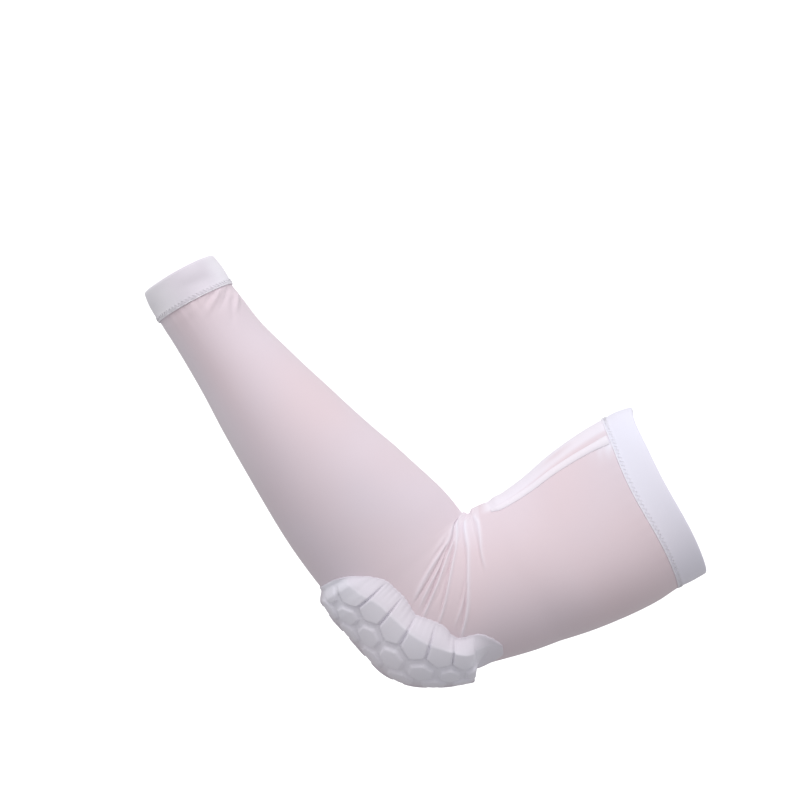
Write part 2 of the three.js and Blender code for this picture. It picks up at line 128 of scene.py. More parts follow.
# The pad's rise at its lower end: run in mm, and share of the whole height.
PAD_RISE = ([-8.4, -5.6, -4.2, 0, 4, 8], [0, 0.5, 0.68, 0.78, 0.92, 1])
# The creases of the crook. Each line's turn is given at some distances from the fold (mm). Then
# come its height and width (mm), and the distances where it fades in and where it fades out.
CREASES = [
    (((4, 0.05), (15.4, 0.244), (23.5, 0.264), (32.9, 0.264), (40.1, 0.270), (48, 0.284),
      (56, 0.30)), 0.6, 1.3, (4, 12), (48, 60)),
    (((18, 0.226), (27, 0.224), (34.4, 0.241), (43, 0.256)), -0.35, 1.3, (17, 24), (36, 46)),
    (((20, 0.275), (25, 0.295), (30, 0.304), (40.6, 0.311), (54, 0.308)),
     -0.75, 0.7, (19, 26), (48, 60)),
    (((22, 0.319), (31.3, 0.338), (41, 0.336), (52, 0.342), (58, 0.348)),
     0.6, 0.7, (21, 28), (50, 62)),
    (((1.7, -0.008), (14.3, 0.284), (24.1, 0.328), (35.2, 0.353), (46.3, 0.370), (58, 0.377)),
     -1.1, 0.65, (1, 5), (50, 62)),
    (((13, 0.325), (28.4, 0.364), (40.5, 0.384), (52.7, 0.388), (62, 0.393)),
     0.75, 0.85, (13, 22), (56, 68)),
    (((16, 0.366), (23.5, 0.402), (33.5, 0.428), (44.5, 0.457), (54, 0.471), (62, 0.476)),
     -1.0, 0.65, (15, 22), (52, 64)),
    (((29, 0.420), (40, 0.421), (48.3, 0.424), (56, 0.408)), -0.4, 0.9, (29, 35), (46, 58)),
    (((4.8, 0.139), (12.7, 0.335), (18.4, 0.393), (25.5, 0.429), (38, 0.460), (50, 0.477),
      (64, 0.482)), 0.95, 0.95, (3, 10), (56, 68)),
    (((3.7, 0.317), (18.3, 0.493), (25.2, 0.545), (36, 0.577), (44.8, 0.578), (52, 0.571)),
     -0.55, 0.7, (2, 10), (46, 56)),
    (((39, 0.594), (48, 0.598), (58, 0.603), (66, 0.600)), -0.95, 0.6, (38, 44), (62, 72)),
    (((40, 0.591), (47.7, 0.589), (54, 0.582), (62, 0.567)), 0.55, 0.7, (40, 46), (56, 68)),
    (((4.6, 0.377), (14.8, 0.509), (21.8, 0.564), (32.2, 0.591), (44, 0.609), (54, 0.618),
      (67, 0.606)), 1.05, 1.1, (2, 8), (64, 76)),
    (((4.9, 0.547), (14.8, 0.629), (22.5, 0.671), (36, 0.708)), -0.5, 0.8, (2, 8), (26, 38)),
    (((4.7, 0.587), (8, 0.660), (16.1, 0.690), (24.5, 0.698), (33, 0.729)),
     0.7, 0.9, (2, 6), (24, 36)),
    (((6, 0.10), (34, 0.247), (44, 0.253)), 0.25, 1.8, (8, 20), (30, 46)),
]
# The bend's length grows with the distance from the fold: by this much each mm, from this much.
FAN_GROWTH = 1.407
FAN_START = 19
# Gathers of the knit below the wrist hem. Each has its angle at the hem (rad), how far that
# turns by its end, where it starts and its length (mm), its height (mm) and its width (rad).
GATHERS = [
    (2.45, -0.60, 0, 8, 1.15, 0.09), (2.72, -0.55, 1, 8, -0.9, 0.08),
    (2.2, -0.45, 0, 5.5, -0.75, 0.08), (2.95, -0.5, 5, 9, 1.3, 0.10),
    (2.62, -0.45, 6.5, 12, -0.7, 0.09), (1.6, -0.2, 0, 6, 0.4, 0.08),
    (-2.2, -0.2, 0, 12, 0.6, 0.08), (-2.65, 0.1, 0, 15, 0.7, 0.09),
    (-1.6, -0.1, 0, 8, 0.35, 0.07),
]

RAD = math.pi / 180
FULL_TURN = 2 * math.pi
BEND_ANGLE = FOREARM_RISE - UPPER_RISE
BEND_LENGTH = ELBOW_REACH * (180 - BEND_ANGLE) * RAD
SPREAD = BEND[-1][1] * UPPER_LENGTH
RUN_START = -FOREARM_LENGTH
RUN_END = BEND_LENGTH + UPPER_LENGTH - SPREAD
WRIST_EDGE = RUN_START + HEM_WIDTH
UPPER_EDGE = RUN_END - HEM_WIDTH
CELLS_LENGTH = LONG_ROW * CELL_PITCH
CELLS_END = PAD_START + CELLS_LENGTH
PAD_FROM = PAD_START - 0.26 * CELL_PITCH
PAD_LENGTH = CELLS_END + CELL_PITCH - PAD_FROM
PAD_TO = PAD_FROM + PAD_LENGTH

rows = [(-a * FOREARM_LENGTH, lean, i, o, d, 0) for a, lean, i, o, d in FOREARM]
rows += [(t * BEND_LENGTH, 0, 0, o, d, 0.06 * t) for t, s, o, d in BEND]
rows += [(BEND_LENGTH + a * UPPER_LENGTH - SPREAD, 0, i, o, d, p) for a, i, o, d, p in UPPER]
SECTIONS = np.array(rows, dtype=float)
TURNS = np.array([(t, s) for t, s, o, d in BEND], dtype=float)
FORE = np.array([math.cos(FOREARM_RISE * RAD), math.sin(FOREARM_RISE * RAD)])
UP = np.array([math.cos(UPPER_RISE * RAD), math.sin(UPPER_RISE * RAD)])


# ---------------------------------------------------------------- the surface
def reading(xs, ys, at):
    """A smooth reading of a table's column at places between its rows."""
    at = np.clip(at, xs[0], xs[-1])
    last = len(xs) - 1
    low = np.maximum(np.arange(last + 1) - 1, 0)
    high = np.minimum(np.arange(last + 1) + 1, last)
    slope = (ys[high] - ys[low]) / (xs[high] - xs[low])
    i = np.clip(np.searchsorted(xs, at) - 1, 0, last - 1)
    span = xs[i + 1] - xs[i]
    u = (at - xs[i]) / span
    v = 1 - u
    return (ys[i] * (1 + 2 * u) * v * v + ys[i + 1] * (3 - 2 * u) * u * u
            + slope[i] * span * u * v * v - slope[i + 1] * span * v * u * u)


def smooth(a, b, x):
    """0 before a, 1 beyond b and a soft step between them."""
    u = np.clip((x - a) / (b - a), 0, 1)
    return u * u * (3 - 2 * u)


def hump(x, at, width):
    """A soft bell, 1 at its middle."""
    return np.exp(-((x - at) / width) ** 2)


def signed(angle):
    """The same angle between -pi and pi."""
    return np.mod(np.asarray(angle) + math.pi, FULL_TURN) - math.pi


def section(run):
    """Middle, half width, half depth and peak of the section at a run."""
    run = np.asarray(run, dtype=float)
    lean, inner, outer, depth, peak = (reading(SECTIONS[:, 0], SECTIONS[:, k], run)
                                       for k in range(1, 6))
    turn = np.clip(run / BEND_LENGTH, 0, 1)
    angle = (FOREARM_RISE - 180 + (180 - BEND_ANGLE) * turn) * RAD
    out = np.stack([np.sin(angle), -np.cos(angle)], -1)
    back = np.stack([out[..., 1], -out[..., 0]], -1)
    spread = reading(TURNS[:, 0], TURNS[:, 1], turn) * UPPER_LENGTH
    start = (np.array(CROOK) + FORE * np.maximum(-run, 0)[..., None]
             + UP * (spread + np.maximum(run - BEND_LENGTH, 0))[..., None])
    near = start + out * (inner * ELBOW_REACH)[..., None]
    far = (start + out * (outer * ELBOW_REACH)[..., None]
           + back * (lean * (outer - inner) * ELBOW_REACH)[..., None])
    return (near + far) / 2, (far - near) / 2, depth * HALF_DEPTH, peak


def swung(run, angle):
    """The rims aren't square to the sleeve: each run is shifted a little, by its angle."""
    away = np.abs(signed(angle))
    wrist = (WRIST_SWING * np.cos(angle) + WRIST_RIM_SHIFT
             + (WRIST_HEM_SHIFT - WRIST_RIM_SHIFT) * smooth(RUN_START, WRIST_EDGE, run))
    face = FACE_SWING * (TIP_SHARE * hump(away, math.pi, 0.32) - hump(away, 1.85, 0.6))
    dip = -RIM_DIP * hump(away, 2.55, 0.4)
    return (run + wrist * smooth(0.6, 0.9, -run / FOREARM_LENGTH)
            + face * smooth(0.18, 0.6, (run - BEND_LENGTH) / UPPER_LENGTH)
            + dip * smooth(UPPER_EDGE, RUN_END, run))


def bare(run, angle):
    """Points of the smooth tube.

    angle is 0 at the outside of the bend, grows toward the front and is pi at the inside."""
    middle, half, depth, peak = section(swung(run, angle))
    c, s = np.cos(angle), np.sin(angle)
    y = -depth * s * (1 + peak * c)
    return np.stack([middle[..., 0] + half[..., 0] * c, y, middle[..., 1] + half[..., 1] * c], -1)


def outward(run, angle):
    """Unit normals of the smooth tube."""
    run_step, angle_step = 0.5, 0.01
    a = np.clip(run, RUN_START + run_step, RUN_END - run_step)
    along = bare(a + run_step, angle) - bare(a - run_step, angle)
    around = bare(a, angle + angle_step) - bare(a, angle - angle_step)
    n = np.cross(along, around)
    return n / np.linalg.norm(n, axis=-1, keepdims=True)


def reach(run, angle):
    """Distance from the fold at the inside of the bend, measured across the section."""
    half = section(run)[1]
    return np.linalg.norm(half, axis=-1) * (1 + np.cos(angle))


def creases(run, angle):
    """Height of the creases of the crook, in mm."""
    turn = np.asarray(run) / BEND_LENGTH
    r = reach(run, angle)
    total = np.zeros(np.broadcast(turn, r).shape)
    for line, height, width, fade_in, fade_out in CREASES:
        line = np.array(line)
        away = (turn - reading(line[:, 0], line[:, 1], r)) * (FAN_GROWTH * r + FAN_START)
        total += height * hump(away, 0, width) * smooth(*fade_in, r) * (1 - smooth(*fade_out, r))
    return total


def ripples(a, count, lean, slow, second, shift):
    """Uneven small waves round the sleeve."""
    return np.sin(count * a + lean * np.sin(slow * a)) + 0.6 * np.sin(second * a + shift)


def beside_hems(run, a):
    """Small waves of the knit next to the hems, a dent below the wrist hem, and the gathers."""
    near_wrist = np.exp(-np.maximum(run - WRIST_EDGE, 0) / 6.0) * (run > WRIST_EDGE - 1)
    near_upper = np.exp(-np.maximum(UPPER_EDGE - run, 0) / 5.0) * (run < UPPER_EDGE + 1)
    total = (0.13 * ripples(a, 23, 1.3, 3, 37, 0.7) * near_wrist
             + 0.08 * ripples(a, 41, 1.1, 5, 59, 0.4) * near_upper)
    total = total - 0.35 * hump(run, WRIST_EDGE + 1.5, 2.5) * (run > WRIST_EDGE)
    for place, swing, start, length, height, width in GATHERS:
        down = np.clip((run - WRIST_EDGE - start) / length, 0, 2)
        total = total + (height * hump(a, place + swing * down, width)
                         * smooth(0, 0.25, down) * (1 - smooth(0.55, 1.5, down)))
    return total


def wrist_waves(run, a):
    """The wrist hem's own soft waves, its two slanted hollows and its raised edge."""
    band = np.clip((WRIST_EDGE - run) / HEM_WIDTH, 0, 1)
    waves = 0.25 * np.sin(4 * a + 0.23 * run + 0.6) * smooth(0, 0.3, band)
    hollow = 0.9 * hump(band, 0.42, 0.17) * hump(np.abs(a), 2.15 - 0.5 * band, 0.42)
    edge = 0.4 * smooth(0, 0.03, band) * (1 - smooth(0.5, 1, band))
    return waves * (1 - smooth(0.75, 1, band)) - hollow + edge


def bunched(run, angle):
    """The bunched cloth at the top of the crook."""
    turn = np.clip(run / BEND_LENGTH, 0, 1)
    s = (reading(TURNS[:, 0], TURNS[:, 1], turn) * UPPER_LENGTH
         + np.maximum(run - BEND_LENGTH, 0))
    height = (-1.8 * smooth(1, 3, s) * (1 - smooth(4.6, 6.2, s))
              - 0.4 * hump(s, 15.5, 1.5) + 0.7 * hump(s, 20.0, 2.5))
    return height * (1 - smooth(1.5, 7, reach(run, angle))) * (run > 0)


def cloth(run, angle, raised):
    """Points at a height over the tube with all its creases and gathers."""
    run, angle = np.broadcast_arrays(np.asarray(run, float), np.asarray(angle, float))
    a = signed(angle)
    height = (raised + creases(run, angle) + beside_hems(run, a) + wrist_waves(run, a)
              + bunched(run, angle))
    return bare(run, angle) + outward(run, angle) * height[..., None]


# ---------------------------------------------------------------- mesh helpers
def new_object(name, points, faces, uv=None, tint=None):
    """A smooth mesh from points in mm, with its weave coordinates and its tint."""
    mesh = bpy.data.meshes.new(name)
    mesh.from_pydata([tuple(p) for p in np.asarray(points) * 0.001], [],
                     [tuple(int(i) for i in f) for f in faces])
    mesh.validate()
    if uv is not None:
        layer = mesh.uv_layers.new(name="weave")
        order = np.empty(len(mesh.loops), dtype=np.int64)
        mesh.loops.foreach_get("vertex_index", order)
        layer.data.foreach_set("uv", np.asarray(uv, dtype=np.float32)[order].ravel())
    if tint is not None:
        attribute = mesh.attributes.new("tint", "FLOAT", "POINT")
        attribute.data.foreach_set("value", np.asarray(tint, dtype=np.float32))
    mesh.polygons.foreach_set("use_smooth", [True] * len(mesh.polygons))
    mesh.update()
    ob = bpy.data.objects.new(name, mesh)
    bpy.context.scene.collection.objects.link(ob)
    return ob


def turn_steps(steps):
    """Angles of a whole turn, without the last one."""
    return np.arange(steps) / steps * FULL_TURN


def flat(grid):
    return grid.reshape(-1, grid.shape[-1])


def grid_faces(n, m, offset=0, flip=False, wrap=False):
    """Quads of an n by m grid of points. wrap joins its last column to its first."""
    faces = []
    for i in range(n - 1):
        for j in range(m if wrap else m - 1):
            k = (j + 1) % m
            quad = [offset + q for q in (i * m + j, (i + 1) * m + j, (i + 1) * m + k, i * m + k)]
            faces.append(quad[::-1] if flip else quad)
    return faces


def slab(name, top, low, uv, tint=None):
    """A closed slab between an upper and a lower grid of points."""
    n, m = top.shape[:2]
    under = n * m
    faces = grid_faces(n, m) + grid_faces(n, m, offset=under, flip=True)
    for i in range(n - 1):
        a, b = i * m, (i + 1) * m
        faces.append([a, under + a, under + b, b])
        a, b = a + m - 1, b + m - 1
        faces.append([b, under + b, under + a, a])
    for j in range(m - 1):
        faces.append([j + 1, under + j + 1, under + j, j])
        a = (n - 1) * m + j
        faces.append([a, under + a, under + a + 1, a + 1])
    if tint is not None:
        tint = np.concatenate([tint, tint])
    return new_object(name, np.concatenate([flat(top), flat(low)]), faces,
                      uv=np.concatenate([uv, uv]), tint=tint)


def swept_ring(name, outline, steps, tint=None):
    """A closed outline of (run, height) points swept round the sleeve."""
    outline = np.array(outline, dtype=float)
    angles = turn_steps(steps)[None, :]
    points = cloth(outline[:, 0][:, None], angles, outline[:, 1][:, None])
    faces = grid_faces(len(outline), steps, wrap=True)
    last = (len(outline) - 1) * steps
    for j in range(steps):
        k = (j + 1) % steps
        faces.append([last + j, j, k, last + k])
    lengths = np.linalg.norm(np.diff(outline, axis=0), axis=1)
    travelled = np.concatenate([[0], np.cumsum(lengths)])
    uv = np.stack(np.broadcast_arrays(travelled[:, None], angles * WEAVE_RADIUS), -1)
    return new_object(name, flat(points), faces, uv=flat(uv), tint=tint)


def thread(name, path, radius, sides=5):
    """A thin thread along a closed path of points, as one tube."""
    path = np.asarray(path, dtype=float)
    tangent = np.roll(path, -1, axis=0) - np.roll(path, 1, axis=0)
    tangent /= np.linalg.norm(tangent, axis=1, keepdims=True)
    aslant = np.array([0.31, 0.83, 0.46])
    side = np.cross(tangent, aslant)
    side /= np.linalg.norm(side, axis=1, keepdims=True)
    over = np.cross(tangent, side)
    turn = turn_steps(sides)[None, :, None]
    ringed = path[:, None, :] + radius * (side[:, None, :] * np.cos(turn)
                                          + over[:, None, :] * np.sin(turn))
    faces = []
    for i in range(len(path)):
        a, b = i * sides, (i + 1) % len(path) * sides
        for j in range(sides):
            k = (j + 1) % sides
            faces.append([a + j, a + k, b + k, b + j])
    return new_object(name, flat(ringed), faces)


def zigzag(run_at, amplitude, pitch, raised, around):
    """Points of a zigzag seam round the sleeve."""
    count = max(2 * int(round(around / pitch)), 8)
    runs = run_at + amplitude * np.where(np.arange(count) % 2 == 0, 1, -1)
    return cloth(runs, turn_steps(count), raised)


# ---------------------------------------------------------------- materials
def srgb(r, g, b):
    def one(c):
        c /= 255
        return c / 12.92 if c <= 0.04045 else ((c + 0.055) / 1.055) ** 2.4
    return (one(r), one(g), one(b), 1.0)


def add_node(tree, kind, values=None, **settings):
    """A new node of a tree, with its settings and the fixed values of its sockets."""
    node = tree.nodes.new(kind)
    for key, value in settings.items():
        setattr(node, key, value)
    for socket, value in (values or {}).items():
        node.inputs[socket].default_value = value
    return node


def knit_material(name, colour, light=None, bump=0.12, rib=False, speckle=0.03, hue=0.5):
    """A fine stretch knit: columns of small loops, and slow changes of tone and hue.

    Where the mesh has a tint, the colour goes over to light, the second colour; that tint carries
    painted light on the sleeve and the wrist hem, and painted shade on the pad, whose second colour
    is darker."""
    mat = bpy.data.materials.new(name)
    mat.use_nodes = True
    tree = mat.node_tree
    link = tree.links.new
    shader = tree.nodes["Principled BSDF"]
    shader.inputs["Roughness"].default_value = 0.82
    shader.inputs["Specular IOR Level"].default_value = 0.25
    shader.inputs["Sheen Weight"].default_value = 0.4
    shader.inputs["Sheen Roughness"].default_value = 0.42

    # the loops of the knit, as fine relief
    uv = add_node(tree, "ShaderNodeUVMap", uv_map="weave")
    columns = add_node(tree, "ShaderNodeTexWave",
                       {"Scale": 0.55 if rib else 0.95, "Distortion": 0.6, "Detail": 1.0,
                        "Detail Scale": 2.0}, wave_type="BANDS", bands_direction="Y")
    courses = add_node(tree, "ShaderNodeTexWave", {"Scale": 0.8, "Distortion": 0.8},
                       wave_type="BANDS", bands_direction="X")
    loops = add_node(tree, "ShaderNodeMath", operation="MULTIPLY")
    for place, wave in enumerate((columns, courses)):
        link(uv.outputs["UV"], wave.inputs["Vector"])
        link(wave.outputs["Fac"], loops.inputs[place])
    relief = add_node(tree, "ShaderNodeBump", {"Strength": bump, "Distance": 0.0003})
    link(loops.outputs["Value"], relief.inputs["Height"])
    link(relief.outputs["Normal"], shader.inputs["Normal"])

    # a slow change of tone, and painted shade: darker lines in the low parts of the loops' relief
    coord = add_node(tree, "ShaderNodeTexCoord")
    slow = add_node(tree, "ShaderNodeTexNoise", {"Scale": 9.0, "Detail": 3.0})
    link(coord.outputs["Object"], slow.inputs["Vector"])
    tone = add_node(tree, "ShaderNodeMapRange",
                    {"To Min": 1.0 - speckle, "To Max": 1.0 + speckle})
    link(slow.outputs["Fac"], tone.inputs["Value"])
    painted_loop_shade = add_node(tree, "ShaderNodeMapRange", {"To Min": 0.97, "To Max": 1.01})
    link(loops.outputs["Value"], painted_loop_shade.inputs["Value"])
    both = add_node(tree, "ShaderNodeMath", operation="MULTIPLY")
    link(tone.outputs["Result"], both.inputs[0])
    link(painted_loop_shade.outputs["Result"], both.inputs[1])
    scaled = add_node(tree, "ShaderNodeVectorMath", operation="SCALE")
    link(both.outputs["Value"], scaled.inputs["Scale"])
    if light is None:
        scaled.inputs[0].default_value = colour[:3]
    else:
        mask = add_node(tree, "ShaderNodeAttribute", attribute_name="tint")
        mix = add_node(tree, "ShaderNodeMix", {"A": colour, "B": light}, data_type="RGBA")
        link(mask.outputs["Fac"], mix.inputs["Factor"])
        link(mix.outputs["Result"], scaled.inputs[0])

    # broad patches, a little cooler and a little warmer
    patches = add_node(tree, "ShaderNodeTexNoise", {"Scale": 13.0, "Detail": 1.5})
    link(coord.outputs["Object"], patches.inputs["Vector"])
    warm = add_node(tree, "ShaderNodeMapRange", {"From Min": 0.35, "From Max": 0.65})
    link(patches.outputs["Fac"], warm.inputs["Value"])
    shift = add_node(tree, "ShaderNodeMix",
                     {"A": (1 - 0.02 * hue, 1 + 0.008 * hue, 1 + 0.035 * hue, 1),
                      "B": (1 + 0.015 * hue, 1 - 0.012 * hue, 1 - 0.012 * hue, 1)},
                     data_type="RGBA")
    link(warm.outputs["Result"], shift.inputs["Factor"])
    toned = add_node(tree, "ShaderNodeVectorMath", operation="MULTIPLY")
    link(scaled.outputs["Vector"], toned.inputs[0])
    link(shift.outputs["Result"], toned.inputs[1])
    link(toned.outputs["Vector"], shader.inputs["Base Color"])
    return mat


# The sleeve's second, paler colour goes over the knit's paler places over folds, along the inner
# side and beside the upper hem, and it also carries painted light along the forearm's outer edge.
mat_sleeve = knit_material("sleeve_knit", srgb(226, 211, 218), srgb(240, 236, 245), bump=0.10,
                           hue=0.9)
mat_hem = knit_material("hem_knit", srgb(234, 232, 244), srgb(252, 251, 255), bump=0.16,
                        rib=True, speckle=0.02)
# The wrist hem's base colour is darker and rosier than the upper hem's; its tint is painted light,
# paler towards white at its sides.
mat_wrist = knit_material("wrist_knit", srgb(222, 216, 226), srgb(246, 244, 251), bump=0.16,
                          rib=True, speckle=0.03)
# The pad's second colour is darker: its tint is painted shade.
mat_pad = knit_material("pad_cover", srgb(236, 233, 242), srgb(211, 202, 212), bump=0.12,
                        speckle=0.02)
mat_tape = knit_material("seam_tape", srgb(241, 235, 243), bump=0.16, rib=True)
mat_thread = knit_material("sewing_thread", srgb(243, 241, 247), bump=0.1)


# ---------------------------------------------------------------- the tube
def sleeve_stations():
    """Runs and heights along the tube: tucked under both hems, and close together in the bend."""
    tuck = -(HEM_WALL + HEM_GAP)
    dip = [(-1.6, tuck), (-0.9, -1.3), (-0.45, -0.75), (-0.1, -0.38), (0.3, -0.1)]
    stations = [(RUN_START + LIP + HEM_GAP, tuck), (RUN_START + HEM_WIDTH * 0.5, tuck)]
    stations += [(WRIST_EDGE + r, h) for r, h in dip]
    for start, end, count in ((WRIST_EDGE + 1.2, WRIST_EDGE + 24, 26),
                              (WRIST_EDGE + 27, -4, 44),
                              (-2.6, BEND_LENGTH * 0.79, 168),
                              (BEND_LENGTH * 0.80, UPPER_EDGE - 1.2, 44)):
        stations += [(r, 0) for r in np.linspace(start, end, count)]
    stations += [(UPPER_EDGE - r, h) for r, h in dip[::-1]]
    stations += [(RUN_END - HEM_WIDTH * 0.5, tuck), (RUN_END - LIP - HEM_GAP, tuck)]
    return np.array(stations)


def sleeve_tint(run, angle):
    """How pale the knit is: over folds, along the inner side and beside the upper hem, and with
    painted light along the forearm's outer edge.
    """
    from_inside = np.abs(np.abs(signed(angle)) - math.pi)
    turn = run / BEND_LENGTH
    r = reach(run, angle)
    top = 0.9
    ridge = np.clip(creases(run, angle), 0, top) / top
    from_line = turn - np.interp(r, [0, 2, 15, 25, 40], [-0.02, 0.0, 0.27, 0.31, 0.36])
    gathered = (smooth(-0.03, 0.02, from_line)
                * (1 - smooth(0.69, 0.73, turn + 0.002 * (16 - r))) * (1 - smooth(5, 26, r)))
    lifted = (1 - smooth(0.40, 0.52, from_inside)) * smooth(0.66, 0.92, turn)
    rosy_patch = hump(run, BEND_LENGTH + 42, 9) * hump(from_inside, 0.27, 0.09)
    jagged = 0.75 + 0.25 * np.sin(run * 1.1 + 14 * from_inside)
    hem_patch = hump(run, UPPER_EDGE, 9) * hump(from_inside, 0.72, 0.14) * jagged
    # painted light: the forearm's outer edge towards the wrist is painted paler, a painted sheen
    # along that edge
    painted_light_edge = 0.45 * (1 - smooth(0.5, 1.15, math.pi - from_inside)) * smooth(60, 110, -run)
    return np.clip(0.6 * ridge + painted_light_edge + 0.35 * gathered
                   + (0.85 - 0.6 * rosy_patch) * lifted + hem_patch, 0, 1)


stations = sleeve_stations()
n = len(stations)
angles = turn_steps(TUBE_STEPS)[None, :]
run_grid, lift_grid = stations[:, 0][:, None], stations[:, 1][:, None]
outer = cloth(run_grid, angles, lift_grid)
inner = cloth(run_grid, angles, lift_grid - KNIT_WALL)
inside = n * TUBE_STEPS
faces = grid_faces(n, TUBE_STEPS, wrap=True)
faces += grid_faces(n, TUBE_STEPS, offset=inside, flip=True, wrap=True)
last = (n - 1) * TUBE_STEPS
for j in range(TUBE_STEPS):
    k = (j + 1) % TUBE_STEPS
    faces.append([j, k, inside + k, inside + j])
    faces.append([last + k, last + j, inside + last + j, inside + last + k])
runs_all, angles_all = np.broadcast_arrays(run_grid, angles)
tint = sleeve_tint(runs_all, angles_all).ravel()
uv = flat(np.stack([runs_all, angles_all * WEAVE_RADIUS], -1))
sleeve = new_object("sleeve_cloth", np.concatenate([flat(outer), flat(inner)]), faces,
                    uv=np.concatenate([uv, uv]), tint=np.concatenate([tint, 0 * tint]))
sleeve.data.materials.append(mat_sleeve)
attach(sleeve, "root")
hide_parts("sleeve_forearm", "sleeve_elbow", "sleeve_upper")


# ---------------------------------------------------------------- the hems
def hem(name, node, rim, edge, material, pale):
    """A doubled band from its sewn edge to its rim, with a lip turned over the tube's end."""
    toward = 1 if rim > edge else -1
    deep = -(HEM_WALL + HEM_GAP + KNIT_WALL)
    outline = [(edge + toward * r, h) for r, h in
               ((0, -0.3), (0.1, -0.08), (0.4, 0.1), (1.2, 0.18), (2.6, 0.12), (3.4, 0.0))]
    outline += [(edge + (rim - edge) * share, 0.05)
                for share in (0.32, 0.42, 0.52, 0.62, 0.72, 0.82)]
    outline += [(rim - toward * r, h) for r, h in
                ((1.5, 0.02), (0.6, -0.15), (0.1, -0.6), (0, -1.3), (0.15, deep + 0.5),
                 (0.6, deep), (LIP, deep), (LIP, -HEM_WALL))]
    outline += [(edge + (rim - edge) * 0.5, -HEM_WALL), (edge + toward * 1.7, -HEM_WALL),
                (edge + toward * 0.7, -0.95), (edge + toward * 0.2, -0.5)]
    if toward < 0:
        outline = outline[::-1]
    tint = np.broadcast_to(pale(turn_steps(HEM_STEPS)), (len(outline), HEM_STEPS)).ravel()
    ob = swept_ring(name, outline, HEM_STEPS, tint=tint)
    ob.data.materials.append(material)
    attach(ob, "root")
    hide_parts(node)
    return ob


def wrist_painted_light(around):
    """The wrist hem's tint, painted light: paler at its outside edge, and a little paler at its
    inside edge.
    """
    c = np.cos(around)
    return 0.1 + 0.9 * smooth(-0.1, 0.75, c) + 0.5 * smooth(0.6, 0.95, -c)


wrist_hem = hem("wrist_hem_cloth", "wrist_hem", RUN_START, WRIST_EDGE, mat_wrist, wrist_painted_light)
upper_hem = hem("upper_hem_cloth", "upper_hem", RUN_END, UPPER_EDGE, mat_hem, np.zeros_like)

threads = []
for name, edge, toward, around, pitch in (("wrist_stitches", WRIST_EDGE, -1, 165, 2.5),
                                          ("upper_stitches", UPPER_EDGE, 1, 290, 2.4)):
    path = zigzag(edge + toward * 2.0, 0.9, pitch, 0.24, around)
    threads.append(thread(name, path, 0.17))
for name, edge, toward in (("wrist_edge_roll", WRIST_EDGE, -1), ("upper_edge_roll", UPPER_EDGE, 1)):
    path = cloth(edge + toward * 0.35, turn_steps(ROLL_STEPS), 0.0)
    threads.append(thread(name, path, 0.28, sides=6))
for ob in threads:
    ob.data.materials.append(mat_thread)
    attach(ob, "root")

# ---------------------------------------------------------------- the seam tape
tape_from, tape_to = BEND_LENGTH * 0.9, UPPER_EDGE - 0.6
us = np.linspace(0, 1, TAPE_STEPS[0])
vs = np.linspace(-1, 1, TAPE_STEPS[1])[None, :]
tape_run = tape_from + (tape_to - tape_from) * us
centre = math.pi - 0.47 - 0.17 * us
half_tape = TAPE_WIDTH / 2 * (0.55 + 0.45 * smooth(0, 0.25, us) + 0.25 * smooth(0.85, 1, us))
tape_angle = centre[:, None] + vs * (half_tape / section(tape_run)[2])[:, None]
tape_run = tape_run[:, None]
dome = (1 - np.abs(vs) ** 2.6) * (0.4 + 0.6 * smooth(0, 0.12, us))[:, None]
uv = flat(np.stack(np.broadcast_arrays(tape_run, vs * TAPE_WIDTH), -1))
tape = slab("seam_tape_cloth", cloth(tape_run, tape_angle, 0.15 + 0.9 * dome),
            cloth(tape_run, tape_angle, UNDERSIDE), uv)
tape.data.materials.append(mat_tape)
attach(tape, "root")
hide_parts("seam_tape")

# ---------------------------------------------------------------- the pad
PLACES = np.linspace(0, LONG_ROW, 601)
PLACE_RUNS = PAD_START + CELLS_LENGTH * reading(COLUMNS[:, 0], COLUMNS[:, 1], PLACES)


def pad_read(column, run):
    return reading(PAD_OUTLINE[:, 0], PAD_OUTLINE[:, column], (run - PAD_FROM) / PAD_LENGTH)


def cells(run, across):
    """Distance from the nearest cell's middle, 0 there and 1 at its border, and its row."""
    best = np.full(run.shape, 9.0)
    outmost = np.zeros(run.shape)
    slant = math.sqrt(3) / 2
    half_cell = CELL_PITCH / 2
    at = (np.interp(run, PLACE_RUNS, PLACES) + np.minimum(run - PLACE_RUNS[0], 0) / PITCH_BEFORE
          + np.maximum(run - PLACE_RUNS[-1], 0) / PITCH_BEYOND)
    for row in range(-SIDE_ROWS, SIDE_ROWS + 1):
        place, top = (at, LONG_ROW) if row % 2 == 0 else (at - 0.5, SHORT_ROW)
        dx = np.abs(place - np.clip(np.round(place), 0, top)) * CELL_PITCH
        middle = np.sign(row) * (abs(row) * ROW_PITCH - (ROW_TUCK if abs(row) == 2 else 0))
        dy = np.abs(across - middle) * CELL_PITCH * slant / ROW_PITCH
        hexagon = np.maximum(dx, dx / 2 + dy * slant) / half_cell
        circle = np.hypot(dx, dy) / half_cell
        roundness = 0.28 if abs(row) < SIDE_ROWS else 0.12
        d = (1 - roundness) * hexagon + roundness * circle
        if abs(row) == SIDE_ROWS:
            outside = np.clip((across * np.sign(row) - SIDE_ROWS * ROW_PITCH) / 3, 0, 1)
            d = d * (1 - outside) + outside * dx / half_cell
        outmost = np.where(d < best, abs(row), outmost)
        best = np.minimum(best, d)
    return best, outmost


